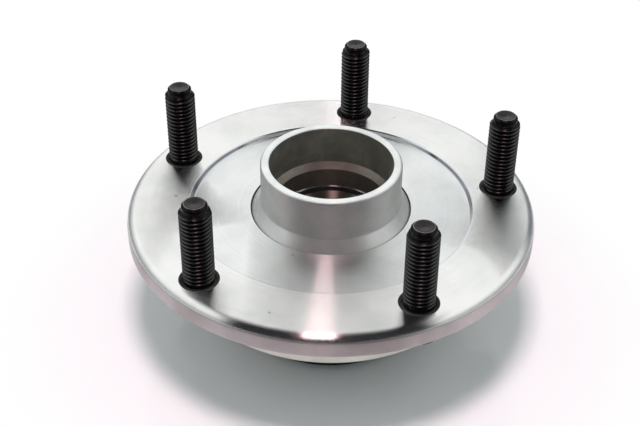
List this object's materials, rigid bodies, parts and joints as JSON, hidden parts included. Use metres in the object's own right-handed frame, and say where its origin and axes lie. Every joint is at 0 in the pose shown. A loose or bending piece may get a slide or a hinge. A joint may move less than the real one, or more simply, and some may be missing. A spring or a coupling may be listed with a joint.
{
  "type": "wheel hub bearing unit",
  "caption": "Driven wheel hub with studs and centring spigot, turning in a double-row angular contact ball bearing whose outer ring bolts to the knuckle.",
  "frame": {"origin": "on the bearing's axis at the level of the wheel mounting face, which is also where the nut well's mount is placed", "axes": "+Z along the axis, outboard towards the wheel; stud 1 lies 9.9 degrees from +X towards +Y"},
  "size_m": [0.188, 0.188, 0.1044],
  "materials": {
    "turned_steel": "fine lathe-turned satin",
    "forged_ring_steel": "ground and phosphated satin",
    "bearing_steel": "lapped, mirror bright",
    "black_oxide_steel": "black oxide, oiled",
    "cage_nylon": "moulded glass-filled nylon",
    "pressed_steel": "pressed sheet, bright",
    "seal_rubber": "moulded nitrile, matt",
    "magnet_rubber": "ground ferrite-filled rubber"
  },
  "bodies": {
    "outer_ring": {"outer_ring": "forged_ring_steel", "outboard_seal_case": "pressed_steel", "outboard_seal_lips": "seal_rubber", "inboard_seal_case": "pressed_steel", "inboard_seal_lips": "seal_rubber", "spigot_o_ring": "seal_rubber"},
    "hub": {"wheel_hub": "turned_steel", "wheel_stud_1": "black_oxide_steel", "wheel_stud_2": "black_oxide_steel", "wheel_stud_3": "black_oxide_steel", "wheel_stud_4": "black_oxide_steel", "wheel_stud_5": "black_oxide_steel", "inboard_inner_ring": "bearing_steel", "seal_slinger": "pressed_steel", "encoder_ring": "magnet_rubber"},
    "outboard_cage": {"outboard_cage": "cage_nylon", "outboard_ball_01": "bearing_steel", "outboard_ball_02": "bearing_steel", "outboard_ball_03": "bearing_steel", "outboard_ball_04": "bearing_steel", "outboard_ball_05": "bearing_steel", "outboard_ball_06": "bearing_steel", "outboard_ball_07": "bearing_steel", "outboard_ball_08": "bearing_steel", "outboard_ball_09": "bearing_steel", "outboard_ball_10": "bearing_steel", "outboard_ball_11": "bearing_steel", "outboard_ball_12": "bearing_steel", "outboard_ball_13": "bearing_steel", "outboard_ball_14": "bearing_steel"},
    "inboard_cage": {"inboard_cage": "cage_nylon", "inboard_ball_01": "bearing_steel", "inboard_ball_02": "bearing_steel", "inboard_ball_03": "bearing_steel", "inboard_ball_04": "bearing_steel", "inboard_ball_05": "bearing_steel", "inboard_ball_06": "bearing_steel", "inboard_ball_07": "bearing_steel", "inboard_ball_08": "bearing_steel", "inboard_ball_09": "bearing_steel", "inboard_ball_10": "bearing_steel", "inboard_ball_11": "bearing_steel", "inboard_ball_12": "bearing_steel", "inboard_ball_13": "bearing_steel", "inboard_ball_14": "bearing_steel"}
  },
  "joints": [
    {"name": "hub_spin", "type": "hinge", "parent": "outer_ring", "child": "hub", "pos_m": [0, 0, 0], "axis": [0, 0, 1], "continuous": true},
    {"name": "outboard_cage_spin", "type": "hinge", "parent": "outer_ring", "child": "outboard_cage", "pos_m": [0, 0, -0.0289], "axis": [0, 0, 1], "continuous": true},
    {"name": "inboard_cage_spin", "type": "hinge", "parent": "outer_ring", "child": "inboard_cage", "pos_m": [0, 0, -0.0501], "axis": [0, 0, 1], "continuous": true}
  ],
  "couplings": [
    {"joint": "outboard_cage_spin", "follows": "hub_spin", "ratio": 0.4275},
    {"joint": "inboard_cage_spin", "follows": "hub_spin", "ratio": 0.4275}
  ]
}
